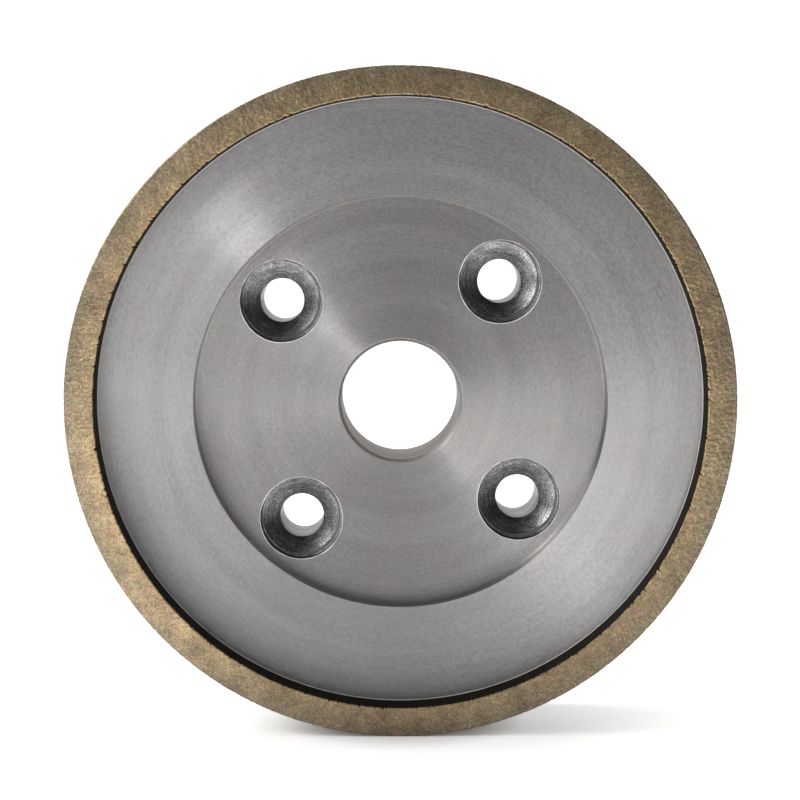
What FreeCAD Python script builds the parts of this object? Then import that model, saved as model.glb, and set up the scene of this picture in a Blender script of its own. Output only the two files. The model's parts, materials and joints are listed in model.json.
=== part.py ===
"""Diamond grinding wheel, 150 mm, metal bond: a turned steel core with a brazed, sintered rim.

The wheel turns about +Y and its origin is its centre. The grinding face looks towards -Y and
the face that meets the spindle flange towards +Y. +Z is up when it stands on its rim.
Lengths are millimetres. Every profile is dimensioned the way a turner's drawing is: radii
from the wheel's axis and stations along the axis from the wheel's middle plane.
"""
import FreeCAD, Part
import os

import Sketcher

SIZES = {
    # Sintered rim: a diamond layer on a layer of the same bronze without diamond.
    "rim_radius": 75.0,
    "rim_bore_radius": 68.5,
    "grinding_face": -17.0,
    "layer_joint": -8.7,
    "foot_face": -6.2,
    "rim_edge_break": 0.3,
    # Steel core: the web inside the rim, the recess for the screws, and the flange.
    "core_radius": 74.5,
    "register_radius": 68.3,
    "seat_floor": -6.0,
    "web_face": -9.0,
    "recess_radius": 46.85,
    "recess_floor": -5.0,
    "recess_fillet": 0.7,
    "back_face": 17.0,
    "bore_radius": 13.5,
    "bore_chamfer": 0.7,
    "core_edge_break": 1.0,
    "recess_edge_break": 0.15,
    # Braze: a film in the seat and a small bead where the rim's bore meets the web.
    "bead_radius": 67.9,
    "bead_front": -9.4,
    # Screw holes for M8 countersunk screws, sunk below the recess floor.
    "screw_count": 4,
    "screw_circle_radius": 35.25,
    "first_screw_angle": 50.0,
    "pocket_radius": 9.35,
    "pocket_floor": -3.5,
    "cone_radius": 8.75,
    "cone_end": 0.25,
    "screw_hole_radius": 5.0,
    "screw_exit_radius": 5.4,
    "screw_exit_start": 16.6,
}

# Closed profiles, as corners (radius, station) named by the sizes above. None is the axis.
CORE_PROFILE = [
    ("bore_radius", "recess_floor"),
    ("recess_radius", "recess_floor"),
    ("recess_radius", "web_face"),
    ("register_radius", "web_face"),
    ("register_radius", "seat_floor"),
    ("core_radius", "seat_floor"),
    ("core_radius", "back_face"),
    ("bore_radius", "back_face"),
]
SCREW_PROFILE = [
    (None, "recess_floor"),
    ("pocket_radius", "recess_floor"),
    ("pocket_radius", "pocket_floor"),
    ("cone_radius", "pocket_floor"),
    ("screw_hole_radius", "cone_end"),
    ("screw_hole_radius", "screw_exit_start"),
    ("screw_exit_radius", "back_face"),
    (None, "back_face"),
]
BACKING_PROFILE = [
    ("rim_bore_radius", "layer_joint"),
    ("rim_radius", "layer_joint"),
    ("rim_radius", "foot_face"),
    ("rim_bore_radius", "foot_face"),
]
DIAMOND_PROFILE = [
    ("rim_bore_radius", "grinding_face"),
    ("rim_radius", "grinding_face"),
    ("rim_radius", "layer_joint"),
    ("rim_bore_radius", "layer_joint"),
]
BRAZE_PROFILE = [
    ("register_radius", "seat_floor"),
    ("register_radius", "web_face"),
    ("bead_radius", "web_face"),
    ("rim_bore_radius", "bead_front"),
    ("rim_bore_radius", "foot_face"),
    ("core_radius", "foot_face"),
    ("core_radius", "seat_floor"),
]


def make_sheet(doc):
    """Put the driving sizes in a spreadsheet, one named cell each."""
    sheet = doc.addObject("Spreadsheet::Sheet", "Sizes")
    for row, (name, value) in enumerate(SIZES.items(), start=1):
        sheet.set(f"A{row}", name)
        sheet.set(f"B{row}", str(value))
        sheet.setAlias(f"B{row}", name)
    doc.recompute()
    return sheet


def origin_feature(body, role):
    """The body's own origin plane or axis with this role."""
    return next(item for item in body.Origin.OriginFeatures if item.Role == role)


def draw_profile(body, name, corners):
    """Sketch a closed profile: X is the radius and Y the station along the wheel's axis."""
    sketch = body.newObject("Sketcher::SketchObject", name)
    sketch.AttachmentSupport = [(origin_feature(body, "XY_Plane"), "")]
    sketch.MapMode = "FlatFace"
    points = [FreeCAD.Vector(SIZES.get(radius, 0.0), SIZES[station], 0) for radius, station in corners]
    count = len(corners)
    for index in range(count):
        sketch.addGeometry(Part.LineSegment(points[index], points[(index + 1) % count]), False)
    for index in range(count):
        sketch.addConstraint(Sketcher.Constraint("Coincident", index, 2, (index + 1) % count, 1))
    for index, (radius, station) in enumerate(corners):
        before = corners[index - 1] if index else (False, False)
        if radius is None:
            sketch.addConstraint(Sketcher.Constraint("PointOnObject", index, 1, -2))
        elif radius == before[0]:
            sketch.addConstraint(Sketcher.Constraint("Vertical", index - 1))
        else:
            dimension(sketch, "DistanceX", index, radius)
        if station == before[1]:
            sketch.addConstraint(Sketcher.Constraint("Horizontal", index - 1))
        else:
            dimension(sketch, "DistanceY", index, station)
    return sketch


def dimension(sketch, kind, corner, size):
    """Dimension a corner from the sketch's origin and bind it to its cell."""
    number = sketch.addConstraint(Sketcher.Constraint(kind, -1, 1, corner, 1, SIZES[size]))
    name = f"{size}_at_{corner}"
    sketch.renameConstraint(number, name)
    sketch.setExpression(f"Constraints.{name}", f"Sizes.{size}")


def turned_body(doc, label, corners):
    """A body turned from one closed profile about the wheel's axis."""
    body = doc.addObject("PartDesign::Body", label)
    body.Label = label
    sketch = draw_profile(body, f"{label}_profile", corners)
    turning = body.newObject("PartDesign::Revolution", f"{label}_turning")
    turning.Profile = sketch
    turning.ReferenceAxis = (sketch, ["V_Axis"])
    turning.Angle = 360
    doc.recompute()
    return body


def round_edge(shape, radius, station):
    """Name of the circular edge of this radius at this station on the wheel's axis."""
    for number, edge in enumerate(shape.Edges, start=1):
        curve = edge.Curve
        if not isinstance(curve, Part.Circle) or abs(curve.Radius - SIZES[radius]) > 1e-4:
            continue
        centre = curve.Center
        if abs(centre.y - SIZES[station]) < 1e-4 and abs(centre.x) + abs(centre.z) < 1e-4:
            return f"Edge{number}"
    raise ValueError(f"no edge of radius {radius} at {station}")


def dress_edges(doc, body, kind, name, size, edges):
    """Chamfer or fillet the circular edges given as (radius, station) pairs."""
    base = body.Tip
    names = [round_edge(base.Shape, radius, station) for radius, station in edges]
    feature = body.newObject(f"PartDesign::{kind}", name)
    feature.Base = (base, names)
    sized = "Radius" if kind == "Fillet" else "Size"
    feature.setExpression(sized, f"Sizes.{size}")
    body.Tip = feature
    doc.recompute()


def cut_screw_holes(doc, body):
    """Groove one stepped hole about its own axis, then repeat it round the wheel's axis."""
    sketch = draw_profile(body, "screw_hole_profile", SCREW_PROFILE)
    sketch.setExpression(".AttachmentOffset.Base.x",
                         "Sizes.screw_circle_radius * cos(Sizes.first_screw_angle)")
    sketch.setExpression(".AttachmentOffset.Base.z",
                         "Sizes.screw_circle_radius * sin(Sizes.first_screw_angle)")
    before = body.Shape.Volume
    groove = body.newObject("PartDesign::Groove", "screw_hole")
    groove.Profile = sketch
    groove.ReferenceAxis = (sketch, ["V_Axis"])
    groove.Angle = 360
    body.Tip = groove
    doc.recompute()
    one_hole = before - body.Shape.Volume
    pattern = body.newObject("PartDesign::PolarPattern", "screw_holes")
    pattern.Originals = [groove]
    pattern.Axis = (origin_feature(body, "Y_Axis"), [""])
    pattern.Angle = 360
    pattern.setExpression("Occurrences", "Sizes.screw_count")
    body.Tip = pattern
    doc.recompute()
    all_holes = before - body.Shape.Volume
    if one_hole <= 0 or abs(all_holes - SIZES["screw_count"] * one_hole) > 1e-3 * all_holes:
        raise ValueError("the screw holes didn't cut the core")


def make_core(doc):
    """Steel core: web, recess, rim seat, bore and screw holes."""
    body = turned_body(doc, "steel_core", CORE_PROFILE)
    dress_edges(doc, body, "Fillet", "recess_foot", "recess_fillet",
                [("recess_radius", "recess_floor")])
    dress_edges(doc, body, "Chamfer", "bore_chamfers", "bore_chamfer",
                [("bore_radius", "recess_floor"), ("bore_radius", "back_face")])
    dress_edges(doc, body, "Chamfer", "recess_lip", "recess_edge_break",
                [("recess_radius", "web_face")])
    dress_edges(doc, body, "Chamfer", "back_corner", "core_edge_break",
                [("core_radius", "back_face")])
    cut_screw_holes(doc, body)
    return body


def make_diamond_rim(doc):
    """Working layer of the rim, with both corners of the grinding face broken."""
    body = turned_body(doc, "diamond_rim", DIAMOND_PROFILE)
    dress_edges(doc, body, "Chamfer", "face_corners", "rim_edge_break",
                [("rim_bore_radius", "grinding_face"), ("rim_radius", "grinding_face")])
    return body


def check_model(doc, bodies):
    """Stop if any object failed to build or any body isn't one valid solid."""
    for item in doc.Objects:
        if "Invalid" in item.State or "Error" in item.State:
            raise ValueError(f"{item.Label} failed: {item.State}")
    for body in bodies:
        if body.Shape.isNull() or not body.Shape.isValid() or len(body.Shape.Solids) != 1:
            raise ValueError(f"{body.Label} isn't one valid solid")


def main():
    doc = FreeCAD.newDocument("grinding_wheel")
    make_sheet(doc)
    bodies = [
        make_core(doc),
        make_diamond_rim(doc),
        turned_body(doc, "rim_backing", BACKING_PROFILE),
        turned_body(doc, "braze_seam", BRAZE_PROFILE),
    ]
    doc.recompute()
    check_model(doc, bodies)
    os.makedirs("parts", exist_ok=True)
    for body in bodies:
        body.Shape.exportStep(f"parts/{body.Label}.step")
        print(body.Label, round(body.Shape.Volume / 1000, 2), "cm3", body.Shape.BoundBox)


main()
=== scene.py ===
"""A diamond grinding wheel on its rim, on a pale floor in soft studio light.

The wheel is a turned steel core and a brazed ring of sintered bronze with diamond. Its axis is Y,
its grinding face looks towards -Y, and lengths are given in millimetres until a mesh is made.
"""
import json
import math

import bpy
import bmesh
from mathutils import Matrix, Vector, noise


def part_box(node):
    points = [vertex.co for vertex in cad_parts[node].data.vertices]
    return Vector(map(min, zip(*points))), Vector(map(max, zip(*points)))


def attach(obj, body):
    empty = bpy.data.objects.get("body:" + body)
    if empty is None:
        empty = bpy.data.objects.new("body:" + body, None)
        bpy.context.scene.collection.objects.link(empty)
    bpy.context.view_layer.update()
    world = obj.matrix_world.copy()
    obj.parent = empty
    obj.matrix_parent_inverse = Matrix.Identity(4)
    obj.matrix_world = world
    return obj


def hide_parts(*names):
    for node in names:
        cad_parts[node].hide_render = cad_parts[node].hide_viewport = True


MM = 0.001
TAU = 2 * math.pi

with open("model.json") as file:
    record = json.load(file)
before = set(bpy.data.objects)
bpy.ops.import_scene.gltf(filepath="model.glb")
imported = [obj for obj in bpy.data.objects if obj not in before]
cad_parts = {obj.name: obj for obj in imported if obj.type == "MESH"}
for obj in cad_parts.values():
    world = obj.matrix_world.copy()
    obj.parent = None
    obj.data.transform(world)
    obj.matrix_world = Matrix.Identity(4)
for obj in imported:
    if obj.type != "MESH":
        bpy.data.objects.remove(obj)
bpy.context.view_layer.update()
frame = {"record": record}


def span(node, axis):
    """A CAD node's lowest and highest coordinate along one axis, in millimetres."""
    low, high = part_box(node)
    return low[axis] / MM, high[axis] / MM


MOUNTS = {mount["name"]: mount for mount in frame["record"]["mounts"]}

# Stations along the axis and radii of the parts, from the frame.
GRINDING_FACE, LAYER_JOINT = span("diamond_rim", 1)
FOOT_FACE = span("rim_backing", 1)[1]
WEB_FACE, BACK_FACE = span("steel_core", 1)
SEAT_FLOOR = span("braze_seam", 1)[1]
RIM_RADIUS = span("diamond_rim", 0)[1]
FLOOR_LEVEL = -RIM_RADIUS
RECESS_FLOOR = MOUNTS["recess_floor"]["pos_m"][1] / MM
BORE_RADIUS = MOUNTS["bore"]["dims"]["r_mm"]
SCREW_CIRCLE = MOUNTS["screw_holes"]["dims"]["pcd_mm"] / 2
SCREW_COUNT = MOUNTS["screw_holes"]["dims"]["count"]
SCREW_HOLE_RADIUS = MOUNTS["screw_holes"]["dims"]["hole_r_mm"]

# Sizes that the frame doesn't state, as the CAD part has them.
CORE_RADIUS = 74.5
RIM_BORE_RADIUS = 68.5
REGISTER_RADIUS = 68.3
RECESS_RADIUS = 46.85
RECESS_FILLET = 0.7
BORE_CHAMFER = 0.7
BACK_CHAMFER = 1.0
FIRST_SCREW_ANGLE = math.radians(50)
POCKET_RADIUS = 9.35
POCKET_DEPTH = 1.5
CONE_RADIUS = 8.75
CONE_END = 0.25

# Looks only: how finely the pieces are meshed, and small marks of making and use.
CORE_SEGMENTS = 720
RIM_SEGMENTS = 2400
SCREW_SEGMENTS = 128
BURR_SEGMENTS = 256
SHARP_DEGREES = 35
TOOL_EDGE = 0.12
OVERCUT = 1
RIM_EDGE = 0.3
RELIEF = 0.06
CHIP_LIMIT = 1.0
BEAD_HEIGHT = 0.13
CONE_DRIFT = Vector((-0.28, 0.0, 0.42))

# The share of a turn from a tangent that follows the grooves to the way they spread highlights.
ACROSS_GROOVES = 0.25

# Colours of the sintered bronze's grains, its pits and its diamond grit.
TAN = (0.50, 0.385, 0.225)
PINK = (0.455, 0.325, 0.222)
OLIVE = (0.375, 0.355, 0.200)
PIT = (0.13, 0.095, 0.055)
GRIT = (0.72, 0.62, 0.50)


# --- Profiles and turned meshes -------------------------------------------------------------

def rounded(corners, steps=5):
    """Points of a closed profile given as (radius, station, corner radius), arcs at corners."""
    points = []
    count = len(corners)
    for index, (radius, station, bend) in enumerate(corners):
        here = Vector((radius, station))
        if bend == 0:
            points.append(here)
            continue
        back = (Vector(corners[index - 1][:2]) - here).normalized()
        ahead = (Vector(corners[(index + 1) % count][:2]) - here).normalized()
        half = back.angle(ahead) / 2
        centre = here + (back + ahead).normalized() * bend / math.sin(half)
        start = here + back * bend / math.tan(half) - centre
        turn = start.angle_signed(here + ahead * bend / math.tan(half) - centre)
        for step in range(steps + 1):
            angle = -turn * step / steps
            points.append(centre + Matrix.Rotation(angle, 2) @ start)
    return points


def ring_of(mesh, radius, station, segments, drift=(0, 0, 0)):
    """One ring of vertices round the Y axis."""
    ring = []
    for index in range(segments):
        angle = TAU * index / segments
        place = Vector((radius * math.cos(angle), station, radius * math.sin(angle)))
        ring.append(mesh.verts.new((place + Vector(drift)) * MM))
    return ring


def join_rings(mesh, one, two, slot=0):
    """A band of quads between two rings."""
    count = len(one)
    for index in range(count):
        after = (index + 1) % count
        face = mesh.faces.new((one[index], one[after], two[after], two[index]))
        face.material_index = slot


def finish_mesh(mesh, name, sharp_degrees=SHARP_DEGREES):
    """Make an object from a bmesh, smooth but for its sharp edges."""
    bmesh.ops.recalc_face_normals(mesh, faces=mesh.faces)
    data = bpy.data.meshes.new(name)
    mesh.to_mesh(data)
    mesh.free()
    data.shade_smooth()
    data.set_sharp_from_angle(angle=math.radians(sharp_degrees))
    piece = bpy.data.objects.new(name, data)
    bpy.context.scene.collection.objects.link(piece)
    return piece


def outline_flats(data, stations):
    """Make every edge of the flat faces at these stations sharp, so that they shade as flats."""
    mesh = bmesh.new()
    mesh.from_mesh(data)
    for edge in mesh.edges:
        flats = [face for face in edge.link_faces
                 if any(all(abs(vert.co.y / MM - station) < 0.001 for vert in face.verts)
                        for station in stations)]
        if len(flats) == 1:
            edge.smooth = False
    mesh.to_mesh(data)
    mesh.free()


def turned_piece(name, profile, segments):
    """A closed solid of revolution."""
    mesh = bmesh.new()
    rings = [ring_of(mesh, radius, station, segments) for radius, station in profile]
    for index, ring in enumerate(rings):
        join_rings(mesh, ring, rings[(index + 1) % len(rings)])
    return finish_mesh(mesh, name)


def screw_hole_cutter(angle):
    """The stepped hole of one screw: a shallow pocket, an off-centre cone and a through hole."""
    lip = POCKET_RADIUS + TOOL_EDGE
    cone_top = RECESS_FLOOR + POCKET_DEPTH
    # Each step is a radius, a station, and the share of the cone's drift that it takes.
    steps = [
        (lip, RECESS_FLOOR - OVERCUT, 0),
        (lip, RECESS_FLOOR, 0),
        (POCKET_RADIUS + 0.04, RECESS_FLOOR + 0.04, 0),
        (POCKET_RADIUS, RECESS_FLOOR + TOOL_EDGE, 0),
        (POCKET_RADIUS - 0.18, cone_top - 0.15, 0),
        (POCKET_RADIUS - 0.3, cone_top - 0.04, 0.3),
        (CONE_RADIUS + 0.06, cone_top, 1),
        (CONE_RADIUS - 0.03, cone_top + 0.02, 1),
        (CONE_RADIUS - 0.12, cone_top + 0.08, 1),
        (SCREW_HOLE_RADIUS + 0.08, CONE_END - 0.1, 0.1),
        (SCREW_HOLE_RADIUS, CONE_END + 0.05, 0),
        (SCREW_HOLE_RADIUS, BACK_FACE - 0.3, 0),
        (SCREW_HOLE_RADIUS + 0.4, BACK_FACE, 0),
        (SCREW_HOLE_RADIUS + 0.4, BACK_FACE + OVERCUT, 0),
    ]
    mesh = bmesh.new()
    rings = [ring_of(mesh, radius, station, SCREW_SEGMENTS, CONE_DRIFT * share)
             for radius, station, share in steps]
    for one, two in zip(rings, rings[1:]):
        join_rings(mesh, one, two)
    mesh.faces.new(rings[0])
    mesh.faces.new(rings[-1])
    cutter = finish_mesh(mesh, "cutter")
    cutter.location = screw_axis(angle) * MM
    return cutter


def screw_axis(angle):
    """A point on a screw hole's axis, in the middle plane."""
    return Vector((SCREW_CIRCLE * math.cos(angle), 0, SCREW_CIRCLE * math.sin(angle)))


SCREW_ANGLES = [FIRST_SCREW_ANGLE + TAU * index / SCREW_COUNT for index in range(SCREW_COUNT)]


def cut(piece, cutters):
    """Cut the cutters out of the piece and delete them."""
    for index, cutter in enumerate(cutters):
        modifier = piece.modifiers.new(f"cut_{index}", "BOOLEAN")
        modifier.operation = "DIFFERENCE"
        modifier.solver = "EXACT"
        modifier.object = cutter
    graph = bpy.context.evaluated_depsgraph_get()
    data = bpy.data.meshes.new_from_object(piece.evaluated_get(graph))
    piece.modifiers.clear()
    old = piece.data
    piece.data = data
    data.name = old.name
    bpy.data.meshes.remove(old)
    for cutter in cutters:
        bpy.data.meshes.remove(cutter.data)


def mark_turning_axes(piece):
    """Store on each face corner its place, in millimetres, from the axis its face was cut about."""
    data = piece.data
    hub = data.attributes.new("hub", "FLOAT_VECTOR", "CORNER")
    for face in data.polygons:
        axis = turning_axis(face)
        for corner in face.loop_indices:
            place = data.vertices[data.loops[corner].vertex_index].co / MM
            hub.data[corner].vector = place - axis


def turning_axis(face):
    """The screw hole's axis for a face inside a screw hole, and the wheel's for any other."""
    centre = face.center / MM
    between_faces = RECESS_FLOOR + 0.001 < centre.y < BACK_FACE - 0.001
    for angle in SCREW_ANGLES:
        axis = screw_axis(angle)
        if between_faces and math.hypot(centre.x - axis.x, centre.z - axis.z) < POCKET_RADIUS + 0.3:
            return axis
    return Vector((0, 0, 0))


# --- Node helpers ---------------------------------------------------------------------------

class Shader:
    """A material's node tree, with short calls for the nodes that the materials share."""

    def __init__(self, name):
        self.material = bpy.data.materials.new(name)
        self.material.use_nodes = True
        self.tree = self.material.node_tree
        self.surface = self.tree.nodes["Principled BSDF"]

    def node(self, kind, inputs=None, **settings):
        node = self.tree.nodes.new(f"ShaderNode{kind}")
        for name, value in settings.items():
            setattr(node, name, value)
        for name, value in (inputs or {}).items():
            self.feed(node.inputs[name], value)
        return node

    def feed(self, socket, value):
        """Set a socket, or link it where the value is another node's output."""
        if isinstance(value, bpy.types.NodeSocket):
            self.tree.links.new(value, socket)
        else:
            socket.default_value = value

    def principled(self, **values):
        for name, value in values.items():
            self.feed(self.surface.inputs[name.replace("_", " ")], value)

    def hub(self):
        """The place on the piece, in millimetres from the axis it was turned about."""
        return self.node("Attribute", attribute_name="hub").outputs["Vector"]

    def vector(self, operation, *inputs, output="Vector"):
        """A vector worked out from one or two others, or a number if output is "Value"."""
        node = self.node("VectorMath", dict(enumerate(inputs)), operation=operation)
        return node.outputs[output]

    def scale(self, vector, factor):
        """A vector made longer or shorter, or a colour made lighter or darker."""
        node = self.node("VectorMath", {0: vector, "Scale": factor}, operation="SCALE")
        return node.outputs["Vector"]

    def around(self):
        """The direction of the grooves, round the turning axis."""
        return self.vector("CROSS_PRODUCT", self.hub(), (0, 1, 0))

    def flat(self):
        """The place on the piece, as seen along the turning axis."""
        return self.vector("MULTIPLY", self.hub(), (1, 0, 1))

    def outward(self):
        """The direction away from the turning axis."""
        return self.vector("NORMALIZE", self.flat())

    def radius(self):
        """The distance from the turning axis, in millimetres."""
        return self.vector("LENGTH", self.flat(), output="Value")

    def side(self, direction):
        """1 on the side of the axis that lies in this direction, and -1 on the opposite side."""
        along = self.vector("DOT_PRODUCT", self.hub(), direction, output="Value")
        return self.math("DIVIDE", along, self.radius())

    def leaning(self, lean):
        """The surface normal, leant outwards: a facing cut leaves lopsided grooves."""
        normal = self.node("NewGeometry").outputs["Normal"]
        leant = self.vector("ADD", normal, self.scale(self.outward(), lean))
        return self.vector("NORMALIZE", leant)

    def lay(self, across, around):
        """Coordinates that follow the grooves, stretched by one scale across them and one around."""
        height = self.node("SeparateXYZ", {"Vector": self.hub()}).outputs["Y"]
        outward = self.node("SeparateXYZ", {"Vector": self.outward()})
        depth = self.math("SUBTRACT", self.radius(), height)
        return self.node("CombineXYZ", {
            "X": self.math("MULTIPLY", depth, across),
            "Y": self.math("MULTIPLY", outward.outputs["X"], around),
            "Z": self.math("MULTIPLY", outward.outputs["Z"], around),
        }).outputs["Vector"]

    def place(self, scale=1.0):
        """The position on the piece, in millimetres times scale."""
        return self.scale(self.node("TexCoord").outputs["Object"], scale / MM)

    def noise(self, vector, scale=1.0, detail=2.0, roughness=0.5, distortion=0.0):
        return self.node("TexNoise", {"Vector": vector, "Scale": scale, "Detail": detail,
                                      "Roughness": roughness, "Distortion": distortion}
                         ).outputs["Fac"]

    def remap(self, value, low, high, to_low, to_high):
        """A value carried from one range to another, and held at its ends."""
        return self.node("MapRange", {"Value": value, "From Min": low, "From Max": high,
                                      "To Min": to_low, "To Max": to_high}).outputs["Result"]

    def spread(self, value, to_low, to_high):
        """A noise carried to a range from the range that most of it lies in."""
        return self.remap(value, 0.3, 0.7, to_low, to_high)

    def math(self, operation, one, two):
        return self.node("Math", {0: one, 1: two}, operation=operation).outputs["Value"]

    def mix(self, share, one, two, blend="MIX"):
        """Mix two colours. The node has sockets of the same names for numbers and for vectors."""
        colour_sockets = (6, 7)
        node = self.node("Mix", data_type="RGBA", blend_type=blend)
        self.feed(node.inputs["Factor"], share)
        for socket, colour in zip(colour_sockets, (one, two)):
            self.feed(node.inputs[socket], (*colour, 1) if isinstance(colour, tuple) else colour)
        return node.outputs[2]

    def bump(self, height, distance, normal=None):
        """The normal of a surface raised by a height times a distance in millimetres."""
        inputs = {"Height": height, "Distance": distance * MM}
        if normal is not None:
            inputs["Normal"] = normal
        return self.node("Bump", inputs).outputs["Normal"]


def scaled(colour, shares):
    """A colour with each channel scaled."""
    return tuple(channel * share for channel, share in zip(colour, shares))


# --- Materials ------------------------------------------------------------------------------

def turned_steel(name, tint, roughness, stretch, lean=0.0, rings=0.07, mottle=0.17, depth=0.003):
    """Steel cut on a lathe: fine grooves round the axis, which stretch every reflection.

    stretch is how strongly they do so, and lean how far the normals lean outwards. rings is how
    much the light and dark grooves differ, and mottle the same for short dashes. depth is how
    deep the grooves are, in millimetres."""
    s = Shader(name)
    grooves = s.noise(s.lay(2.8, 7), detail=3, roughness=0.65)
    dashes = s.noise(s.lay(2.2, 60), detail=3, roughness=0.6)
    bands = s.noise(s.lay(0.3, 0.5), detail=2)
    cloud = s.noise(s.place(0.05), detail=4, roughness=0.6)
    warmth = s.noise(s.place(0.11), detail=2)
    level = s.math("ADD", s.spread(grooves, 1 - rings, 1 + rings), s.spread(dashes, -mottle, mottle))
    level = s.math("ADD", level, s.spread(bands, -rings, rings))
    level = s.math("MULTIPLY", level, s.spread(cloud, 0.95, 1.05))
    rosy = scaled(tint, (1.015, 0.98, 0.985))
    greenish = scaled(tint, (0.985, 1.0, 0.985))
    stained = s.mix(s.remap(warmth, 0.35, 0.65, 0.0, 1.0), rosy, greenish)
    s.principled(
        Base_Color=s.scale(stained, level),
        Metallic=1.0,
        Roughness=s.spread(dashes, roughness * 0.92, roughness * 1.08),
        Anisotropic=stretch,
        Anisotropic_Rotation=ACROSS_GROOVES,
        Tangent=s.around(),
        Normal=s.bump(grooves, depth, s.leaning(lean)),
    )
    return s.material


def countersunk_steel():
    """Steel where a countersink chattered: coarse rings, with painted shade on each hole's low left
    side and painted light towards its upper right.
    """
    s = Shader("steel_screw_holes")
    grey = (0.28, 0.28, 0.275)
    painted_shade_low_left = (-0.6, 0.0, -0.8)
    rings = s.noise(s.lay(4.0, 1.6), detail=3, roughness=0.75)
    flecks = s.noise(s.lay(3.5, 40), detail=3, roughness=0.75)
    smear = s.noise(s.place(0.5), detail=2)
    specks = s.noise(s.place(3.5), detail=2)
    level = s.remap(rings, 0.32, 0.68, 0.3, 1.8)
    for share in (
        s.spread(flecks, 0.3, 1.8),
        s.spread(smear, 0.75, 1.25),
        s.remap(specks, 0.36, 0.64, 0.45, 1.55),
        # Painted shade on the hole's low left side, and painted light towards its upper right.
        s.remap(s.side(painted_shade_low_left), -0.4, 0.9, 1.3, 0.28),
    ):
        level = s.math("MULTIPLY", level, share)
    s.principled(
        Base_Color=s.scale(grey, level),
        Metallic=1.0,
        Roughness=s.spread(flecks, 0.30, 0.50),
        Anisotropic=0.5,
        Anisotropic_Rotation=ACROSS_GROOVES,
        Tangent=s.around(),
        Normal=s.bump(rings, 0.03),
    )
    return s.material


def sintered_bronze(name, shade, roughness, stretch=0.8, lean=0.0, pitting=0.66):
    """Ground sintered bronze: tan, pinkish and olive grains, dark pits and pale grit, with painted
    shade towards the bottom of the face.

    shade scales every colour, and pits are dug where a noise is above pitting."""
    s = Shader(name)
    tan, pink, olive, pit, grit = (scaled(colour, (shade,) * 3)
                                   for colour in (TAN, PINK, OLIVE, PIT, GRIT))
    painted_shade_below = (0.26, 0.0, -0.966)
    inner_tint, outer_tint = (1.06, 1.0, 0.92), (0.82, 0.83, 0.88)
    place = s.place()
    grain = s.noise(place, 2.3, detail=4, roughness=0.7)
    hue = s.noise(place, 0.8, detail=2, roughness=0.7)
    olive_spots = s.noise(s.place(0.55), detail=2, roughness=0.7, distortion=0.4)
    patch = s.noise(place, 0.17, detail=3, roughness=0.6)
    clump = s.noise(place, 1.1, detail=1)
    pits = s.noise(place, 1.5, detail=2, roughness=0.6)
    stones = s.noise(place, 1.9, detail=1)

    colour = s.mix(s.remap(hue, 0.38, 0.62, 0.0, 1.0), tan, pink)
    colour = s.mix(s.remap(olive_spots, 0.45, 0.7, 0.0, 0.8), colour, olive)
    across_face = s.mix(s.remap(s.radius(), 69.5, 74.5, 0.0, 1.0), inner_tint, outer_tint)
    colour = s.mix(1.0, colour, across_face, "MULTIPLY")
    level = s.spread(grain, 0.42, 1.54)
    for share in (
        s.spread(patch, 1.24, 0.74),
        s.spread(clump, 0.82, 1.18),
        # Painted shade: darker towards the bottom, a little to the right, in place of the floor's
        # shadow that the face reflects.
        s.remap(s.side(painted_shade_below), 0.35, 0.95, 1.0, 0.58),
    ):
        level = s.math("MULTIPLY", level, share)
    colour = s.scale(colour, level)
    dug = s.remap(pits, pitting, pitting + 0.06, 0.0, 0.7)
    colour = s.mix(dug, colour, pit)
    colour = s.mix(s.remap(stones, 0.70, 0.76, 0.0, 0.6), colour, grit)
    s.principled(
        Base_Color=colour,
        Metallic=0.75,
        Roughness=s.spread(grain, roughness * 1.1, roughness * 0.9),
        Anisotropic=stretch,
        Anisotropic_Rotation=ACROSS_GROOVES,
        Tangent=s.around(),
        Normal=s.bump(s.math("SUBTRACT", grain, dug), 0.03, s.leaning(lean)),
    )
    return s.material


# --- Pieces ---------------------------------------------------------------------------------

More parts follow.
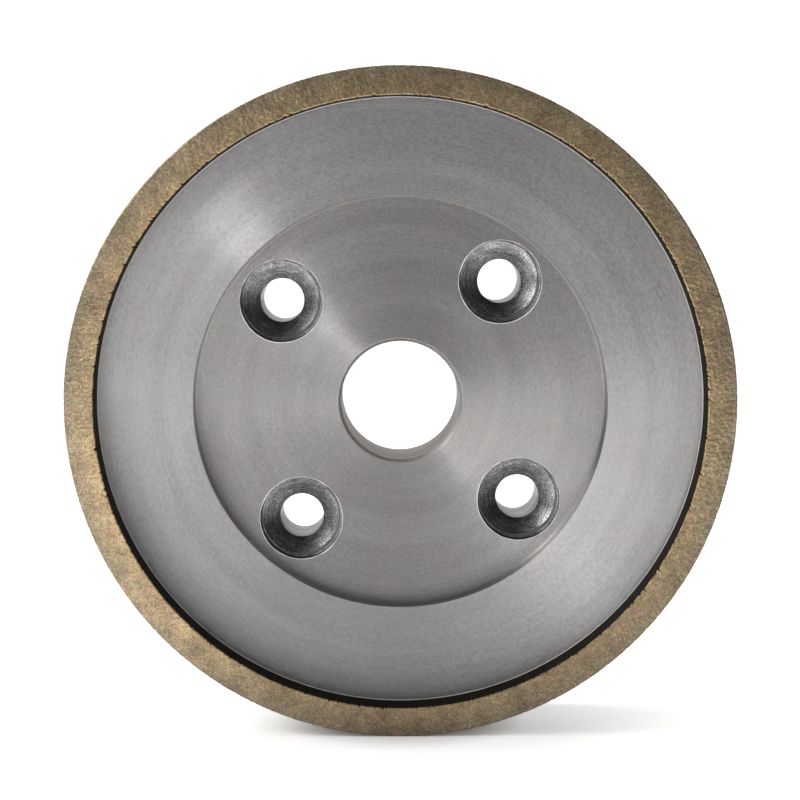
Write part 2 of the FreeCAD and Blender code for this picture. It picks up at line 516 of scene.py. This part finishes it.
def make_core():
    """The steel core, each of its surfaces with its own finish."""
    profile = rounded([
        (BORE_RADIUS, RECESS_FLOOR + BORE_CHAMFER, 0.5),
        (BORE_RADIUS + BORE_CHAMFER, RECESS_FLOOR, 0.35),
        (BORE_RADIUS + BORE_CHAMFER + 0.5, RECESS_FLOOR, 0),
        (RECESS_RADIUS - RECESS_FILLET - 0.1, RECESS_FLOOR, 0),
        (RECESS_RADIUS, RECESS_FLOOR, RECESS_FILLET),
        (RECESS_RADIUS, WEB_FACE, TOOL_EDGE),
        (RECESS_RADIUS + 0.4, WEB_FACE, 0),
        (REGISTER_RADIUS - 0.5, WEB_FACE, 0),
        (REGISTER_RADIUS - 0.1, WEB_FACE, 0),
        (REGISTER_RADIUS, WEB_FACE + 0.01, 0),
        (REGISTER_RADIUS, SEAT_FLOOR, 0),
        (CORE_RADIUS, SEAT_FLOOR, TOOL_EDGE),
        (CORE_RADIUS, BACK_FACE - BACK_CHAMFER, 0.1),
        (CORE_RADIUS - BACK_CHAMFER, BACK_FACE, 0.1),
        (CORE_RADIUS - BACK_CHAMFER - 0.4, BACK_FACE, 0),
        (BORE_RADIUS + BORE_CHAMFER + 0.3, BACK_FACE, 0),
        (BORE_RADIUS + BORE_CHAMFER, BACK_FACE, 0.06),
        (BORE_RADIUS, BACK_FACE - BORE_CHAMFER, 0.06),
    ])
    core = turned_piece("steel_core_turned", profile, CORE_SEGMENTS)
    cut(core, [screw_hole_cutter(angle) for angle in SCREW_ANGLES])
    data = core.data
    data.shade_smooth()
    data.set_sharp_from_angle(angle=math.radians(SHARP_DEGREES))
    outline_flats(data, (RECESS_FLOOR, BACK_FACE))
    mark_turning_axes(core)
    for material in (
        turned_steel("steel_web", (0.370, 0.364, 0.367), 0.40, 1.0, lean=0.07),
        turned_steel("steel_recess", (0.306, 0.299, 0.295), 0.40, 1.0, lean=0.07),
        countersunk_steel(),
        turned_steel("steel_recess_wall", (0.29, 0.285, 0.278), 0.40, 1.0),
        turned_steel("steel_screw_ledges", (0.12, 0.12, 0.12), 0.55, 0.0, rings=0.5),
        turned_steel("steel_screw_bores", (0.30, 0.295, 0.29), 0.42, 0.0, rings=0.4, depth=0.01),
        turned_steel("steel_bore", (0.34, 0.32, 0.31), 0.55, 0.3, rings=0.2, mottle=0.3),
        turned_steel("steel_back", (0.42, 0.41, 0.40), 0.35, 1.0),
    ):
        data.materials.append(material)
    slots = {material.name.removeprefix("steel_"): index
             for index, material in enumerate(data.materials)}
    for face in data.polygons:
        face.material_index = slots[core_finish(face)]
    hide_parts("steel_core")
    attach(core, "root")


def make_burrs():
    """A hair of raised steel round each screw hole's mouth, where the cutter left it."""
    mesh = bmesh.new()
    corners = 6
    for number, angle in enumerate(SCREW_ANGLES):
        rings = []
        for corner in range(corners):
            turn = TAU * corner / corners
            ring = ring_of(mesh, POCKET_RADIUS + TOOL_EDGE, RECESS_FLOOR, BURR_SEGMENTS)
            for index, vert in enumerate(ring):
                outward = vert.co.normalized()
                outward.y = 0
                thick = 0.09 + 0.08 * noise.noise(Vector((index / 9, number * 7.3, 0.5)))
                wander = 0.04 * noise.noise(Vector((index / 14, number * 3.1, 8.5)))
                out = outward.normalized() * (thick * math.cos(turn) + wander)
                vert.co += (out + Vector((0, thick * math.sin(turn), 0)) + screw_axis(angle)) * MM
            rings.append(ring)
        for index, ring in enumerate(rings):
            join_rings(mesh, ring, rings[(index + 1) % len(rings)])
    burrs = finish_mesh(mesh, "screw_hole_burrs", sharp_degrees=80)
    mark_turning_axes(burrs)
    burrs.data.materials.append(turned_steel("steel_burr", (0.9, 0.9, 0.89), 0.5, 0.0))
    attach(burrs, "root")


def core_finish(face):
    """The name of the finish that a face of the core takes."""
    centre = face.center / MM
    radius = math.hypot(centre.x, centre.z)
    if turning_axis(face).length > 0:
        if abs(face.normal.y) > 0.97:
            return "screw_ledges"
        return "screw_holes" if centre.y < CONE_END else "screw_bores"
    if radius < BORE_RADIUS + BORE_CHAMFER and centre.y > RECESS_FLOOR + 0.02:
        return "bore"
    if radius > RECESS_RADIUS - 0.05 and centre.y < SEAT_FLOOR:
        return "web" if abs(face.normal.y) > 0.9 else "recess_wall"
    if centre.y < RECESS_FLOOR - 0.01:
        return "recess_wall"
    if centre.y < RECESS_FLOOR + 0.01:
        return "recess"
    return "back"


def chip(vert, edge_radius, reach, depth, seed):
    """Break chips out of the rim near an edge: how far from it they reach, and how deep."""
    radius = math.hypot(vert.co.x, vert.co.z) / MM
    near = 1 - abs(radius - edge_radius) / reach
    if near <= 0 or vert.co.y / MM > GRINDING_FACE + CHIP_LIMIT:
        return
    angle = math.atan2(vert.co.z, vert.co.x)
    along = Vector((math.cos(angle), math.sin(angle), 0)) * edge_radius
    broken = max(0.0, noise.noise(along * 2.1 + Vector((0, 0, seed))) - 0.12)
    coarse = max(0.0, noise.noise(along * 0.35 + Vector((0, 0, seed + 5))) - 0.1)
    bite = near * depth * (broken + 0.3 * coarse)
    inward = math.copysign(bite, radius - (RIM_BORE_RADIUS + RIM_RADIUS) / 2)
    vert.co += Vector((-math.cos(angle) * inward, 0.8 * bite, -math.sin(angle) * inward)) * MM


def make_rim():
    """The diamond ring, its face rough with grit and its edges chipped.

    The face has rings enough to carry the grit, and a ring just past each edge on the walls
    keeps the chips short."""
    first, last, bands = RIM_BORE_RADIUS + 0.5, RIM_RADIUS - 0.5, 20
    past_chips = GRINDING_FACE + CHIP_LIMIT + 0.1
    face = [(first + (last - first) * band / bands, GRINDING_FACE, 0) for band in range(bands + 1)]
    profile = rounded([
        (RIM_BORE_RADIUS, GRINDING_FACE, RIM_EDGE),
        *face,
        (RIM_RADIUS, GRINDING_FACE, RIM_EDGE),
        (RIM_RADIUS, past_chips, 0),
        (RIM_RADIUS, LAYER_JOINT, 0),
        (RIM_BORE_RADIUS, LAYER_JOINT, 0),
        (RIM_BORE_RADIUS, past_chips, 0),
    ])
    mesh = bmesh.new()
    rings = [ring_of(mesh, radius, station, RIM_SEGMENTS) for radius, station in profile]
    for index, ring in enumerate(rings):
        # The last two bands are the bore's wall, which has the second material, painted nearly black
        # as shade.
        on_bore = index >= len(rings) - 2
        join_rings(mesh, ring, rings[(index + 1) % len(rings)], int(on_bore))
    for vert in mesh.verts:
        radius = math.hypot(vert.co.x, vert.co.z) / MM
        if vert.co.y / MM < GRINDING_FACE + 0.01 and first <= radius <= last:
            grit = noise.fractal(vert.co / MM * 1.4, 0.7, 2.0, 3)
            vert.co.y += RELIEF * min(1.0, max(0.0, 0.5 + grit)) * MM
        chip(vert, RIM_BORE_RADIUS, 0.7, 0.6, 3.0)
        chip(vert, RIM_RADIUS, 0.5, 0.2, 11.0)
    rim = finish_mesh(mesh, "diamond_rim_ring")
    rim.data.materials.append(sintered_bronze("bronze_face", 0.75, 0.3, stretch=0.0, lean=0.12))
    # The bore's wall is bronze painted nearly black: painted shade where the wall stands in the dark.
    rim.data.materials.append(sintered_bronze("bronze_wall_painted_shade", 0.035, 0.7))
    mark_turning_axes(rim)
    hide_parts("diamond_rim")
    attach(rim, "root")


def make_backing():
    """The rim's foot, of bronze without diamond."""
    profile = rounded([
        (RIM_BORE_RADIUS, LAYER_JOINT, 0),
        (RIM_RADIUS, LAYER_JOINT, 0),
        (RIM_RADIUS, FOOT_FACE, 0.2),
        (RIM_BORE_RADIUS, FOOT_FACE, 0.1),
    ])
    backing = turned_piece("rim_backing_ring", profile, CORE_SEGMENTS)
    backing.data.materials.append(sintered_bronze("bronze_backing", 0.8, 0.4, pitting=0.75))
    mark_turning_axes(backing)
    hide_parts("rim_backing")
    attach(backing, "root")


def make_braze():
    """The braze in the seat, with a thin bead where the web meets the rim."""
    profile = [
        (REGISTER_RADIUS, SEAT_FLOOR),
        (REGISTER_RADIUS, WEB_FACE),
        (RIM_BORE_RADIUS, WEB_FACE - BEAD_HEIGHT),
        (RIM_BORE_RADIUS, FOOT_FACE),
        (CORE_RADIUS, FOOT_FACE),
        (CORE_RADIUS, SEAT_FLOOR),
    ]
    braze = turned_piece("braze_bead", profile, CORE_SEGMENTS)
    mark_turning_axes(braze)
    braze.data.materials.append(turned_steel("braze_silver", (0.46, 0.45, 0.44), 0.6, 0.0))
    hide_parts("braze_seam")
    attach(braze, "root")


# --- Studio ---------------------------------------------------------------------------------

def make_floor():
    """Pale paper whose glow is painted light, with a painted contact shadow where the wheel rests and
    painted shade far out at the front right.
    """
    mesh = bmesh.new()
    reach = 3000
    corners = [mesh.verts.new(Vector((x * reach, y * reach, FLOOR_LEVEL)) * MM)
               for x, y in ((-1, -1), (1, -1), (1, 1), (-1, 1))]
    mesh.faces.new(corners)
    floor = finish_mesh(mesh, "floor")
    s = Shader("floor_paper")
    distance = s.vector("LENGTH", s.place(), output="Value")
    # Painted contact shadow: the glow is weakest where the wheel rests and rises away from it.
    near = s.remap(distance, 76.5, 80.5, 0.05, 0.40)
    lit = s.math("ADD", near, s.remap(distance, 80.5, 125, 0.0, 0.42))
    front_right = s.vector("DOT_PRODUCT", s.place(), (1, -1, 0), output="Value")
    # Painted shade on the floor far out at the front right.
    shade = s.remap(front_right, 150, 300, 1.0, 0.45)
    s.principled(
        Base_Color=(0.9, 0.9, 0.9, 1),
        Roughness=0.8,
        Emission_Color=(1, 1, 1, 1),
        Emission_Strength=s.math("MULTIPLY", lit, shade),
    )
    floor.data.materials.append(s.material)


def make_light(name, place, aim, size, power, up):
    """A soft rectangular lamp; place, aim and size in millimetres, its height towards up."""
    lamp = bpy.data.lights.new(name, "AREA")
    lamp.shape = "RECTANGLE"
    lamp.size, lamp.size_y = (side * MM for side in size)
    lamp.energy = power
    light = bpy.data.objects.new(name, lamp)
    facing = (place - aim).normalized()
    across = up.cross(facing).normalized()
    turn = Matrix((across, facing.cross(across), facing)).transposed()
    light.matrix_world = Matrix.Translation(place * MM) @ turn.to_4x4()
    bpy.context.scene.collection.objects.link(light)


def hub_light(name, azimuth, tilt, distance, size, power):
    """A lamp aimed at the hub from in front: degrees round the axis from +X, degrees off the axis."""
    azimuth, tilt = math.radians(azimuth), math.radians(tilt)
    place = Vector((math.sin(tilt) * math.cos(azimuth), -math.cos(tilt),
                    math.sin(tilt) * math.sin(azimuth))) * distance
    make_light(name, place, Vector((0, 0, 0)), size, power, Vector((0, -1, 0)))


def make_lights():
    """A long key lamp at the upper left, weak fills round the hub, and panels beside and above."""
    hub_light("key_strip", 137, 54, 520, (90, 300), 0.46)
    hub_light("left_fill", 152, 28, 520, (100, 110), 0.050)
    hub_light("low_left_fill", 192, 26, 480, (100, 110), 0.066)
    hub_light("low_right_fill", 315, 13, 450, (45, 45), 0.20)
    hub_light("near_right_fill", 345, 14, 450, (80, 80), 0.026)
    hub_light("near_fill", 135, 13, 450, (80, 80), 0.022)
    hub_light("right_fill", 35, 30, 520, (110, 110), 0.017)
    hub_light("high_right_fill", 47, 60, 520, (110, 110), 0.026)
    hub_light("side_panel", 150, 80, 520, (260, 220), 1.45)
    above_back = Vector((0, 120, 600))
    below_it = Vector((0, 120, 0))
    make_light("top_strip", above_back, below_it, (1200, 200), 2.0, Vector((0, 1, 0)))


def make_world():
    """Bright behind the wheel, with weaker glows left of it, before it and above it.

    The camera sees it as pure white, however dark it is."""
    world = bpy.data.worlds.new("studio")
    bpy.context.scene.world = world
    world.use_nodes = True
    tree = world.node_tree
    background = tree.nodes["Background"]
    background.inputs["Color"].default_value = (1, 1, 1, 1)

    def math_node(operation, one, two=0.0):
        node = tree.nodes.new("ShaderNodeMath")
        node.operation = operation
        for socket, value in zip(node.inputs, (one, two)):
            if isinstance(value, bpy.types.NodeSocket):
                tree.links.new(value, socket)
            else:
                socket.default_value = value
        return node.outputs["Value"]

    def glow(component, tightness, level):
        """A glow of this level where the component is 1, fading away from it."""
        fade = math_node("MULTIPLY", math_node("SUBTRACT", component, 1.0), tightness)
        return math_node("MULTIPLY", math_node("EXPONENT", fade), level)

    parts = tree.nodes.new("ShaderNodeSeparateXYZ")
    tree.links.new(tree.nodes.new("ShaderNodeTexCoord").outputs["Generated"], parts.inputs["Vector"])
    leftward = math_node("MULTIPLY", parts.outputs["X"], -1.0)
    frontward = math_node("MULTIPLY", parts.outputs["Y"], -1.0)
    lit = math_node("ADD", glow(parts.outputs["Y"], 4, 1.3), glow(leftward, 3, 0.4))
    lit = math_node("ADD", lit, glow(frontward, 2, 0.15))
    lit = math_node("ADD", lit, glow(parts.outputs["Z"], 3, 0.32))
    seen = tree.nodes.new("ShaderNodeLightPath").outputs["Is Camera Ray"]
    pure_white = 1.1
    shown = math_node("MAXIMUM", lit, math_node("MULTIPLY", seen, pure_white))
    tree.links.new(shown, background.inputs["Strength"])


def make_camera():
    """A long lens a little above the hub and left of it."""
    camera = bpy.data.cameras.new("camera")
    camera.sensor_width = 36
    camera.lens = 99.35
    camera.clip_start = 0.01
    viewer = bpy.data.objects.new("camera", camera)
    place = Vector((-4.3, GRINDING_FACE - 489, 44.4))
    aim = Vector((-0.2, GRINDING_FACE, 1.15))
    viewer.location = place * MM
    viewer.rotation_euler = (aim - place).to_track_quat("-Z", "Y").to_euler()
    bpy.context.scene.collection.objects.link(viewer)
    bpy.context.scene.camera = viewer


make_core()
make_burrs()
make_rim()
make_backing()
make_braze()
make_floor()
make_world()
make_lights()
make_camera()
bpy.context.scene.view_settings.view_transform = "Standard"
